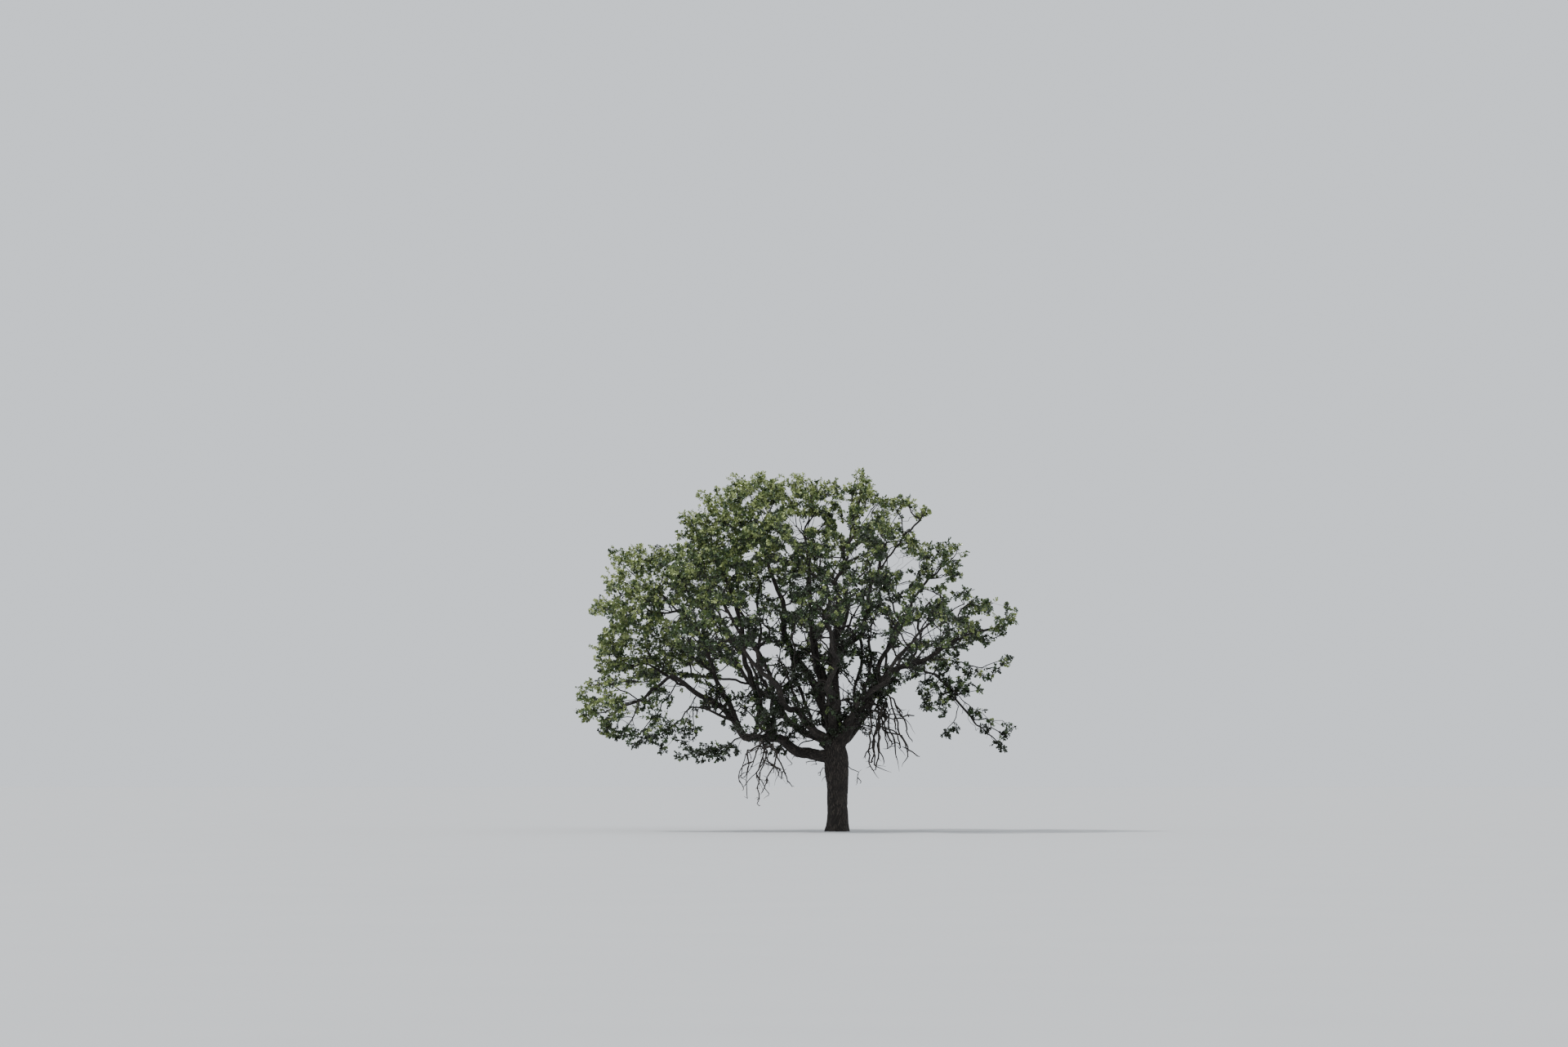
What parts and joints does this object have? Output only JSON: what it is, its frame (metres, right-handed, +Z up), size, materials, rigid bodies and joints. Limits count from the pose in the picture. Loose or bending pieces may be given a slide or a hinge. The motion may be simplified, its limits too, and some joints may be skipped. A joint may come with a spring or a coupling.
{
  "type": "oak tree",
  "caption": "Lone open-grown oak tree with a short thick trunk, a fan of crooked boughs, a broad domed leafy crown and dead twigs hanging under it.",
  "frame": {"origin": "middle of the flat cut under the trunk, at ground level", "axes": "+Z up the trunk; +X to the right and +Y away from the viewer as the tree is seen in the picture; -Z out of the ground cut"},
  "size_m": [12.2989, 11.3667, 10.5177],
  "materials": {
    "bark": "rough furrowed bark",
    "foliage": "glossy leaves",
    "dead_wood": "weathered bare twigs"
  },
  "bodies": {
    "root": {"trunk": "bark", "back_bough": "bark", "back_left_bough": "bark", "back_left_rising_bough": "bark", "back_right_bough": "bark", "back_upper_bough": "bark", "front_bough": "bark", "front_left_bough": "bark", "front_left_rising_bough": "bark", "front_right_bough": "bark", "front_upper_bough": "bark", "leader_bough": "bark", "left_fringe_bough": "bark", "left_rising_bough": "bark", "low_fringe_bough": "bark", "low_left_bough": "bark", "right_bough": "bark", "right_drooping_bough": "bark", "right_rising_bough": "bark", "top_left_bough": "bark", "top_middle_bough": "bark", "top_right_bough": "bark", "upper_left_bough": "bark", "back_left_mass": "foliage", "back_left_upper_mass": "foliage", "back_mass": "foliage", "back_right_mass": "foliage", "back_right_upper_mass": "foliage", "back_upper_mass": "foliage", "fork_sprouts_mass": "foliage", "front_left_mass": "foliage", "front_left_upper_mass": "foliage", "front_mass": "foliage", "front_right_mass": "foliage", "front_right_upper_mass": "foliage", "front_upper_mass": "foliage", "left_back_mass": "foliage", "left_fringe_mass": "foliage", "left_lower_mass": "foliage", "left_middle_mass": "foliage", "left_shoulder_mass": "foliage", "low_fringe_mass": "foliage", "low_left_tip_mass": "foliage", "right_back_mass": "foliage", "right_front_mass": "foliage", "right_low_mass": "foliage", "right_lowest_mass": "foliage", "right_peak_mass": "foliage", "right_shoulder_mass": "foliage", "right_sprig_mass": "foliage", "right_tip_mass": "foliage", "top_left_mass": "foliage", "top_mass": "foliage", "top_middle_mass": "foliage", "top_right_mass": "foliage", "top_sprig_mass": "foliage", "upper_left_mass": "foliage", "dead_twigs_left": "dead_wood", "dead_twigs_right": "dead_wood"}
  },
  "joints": []
}
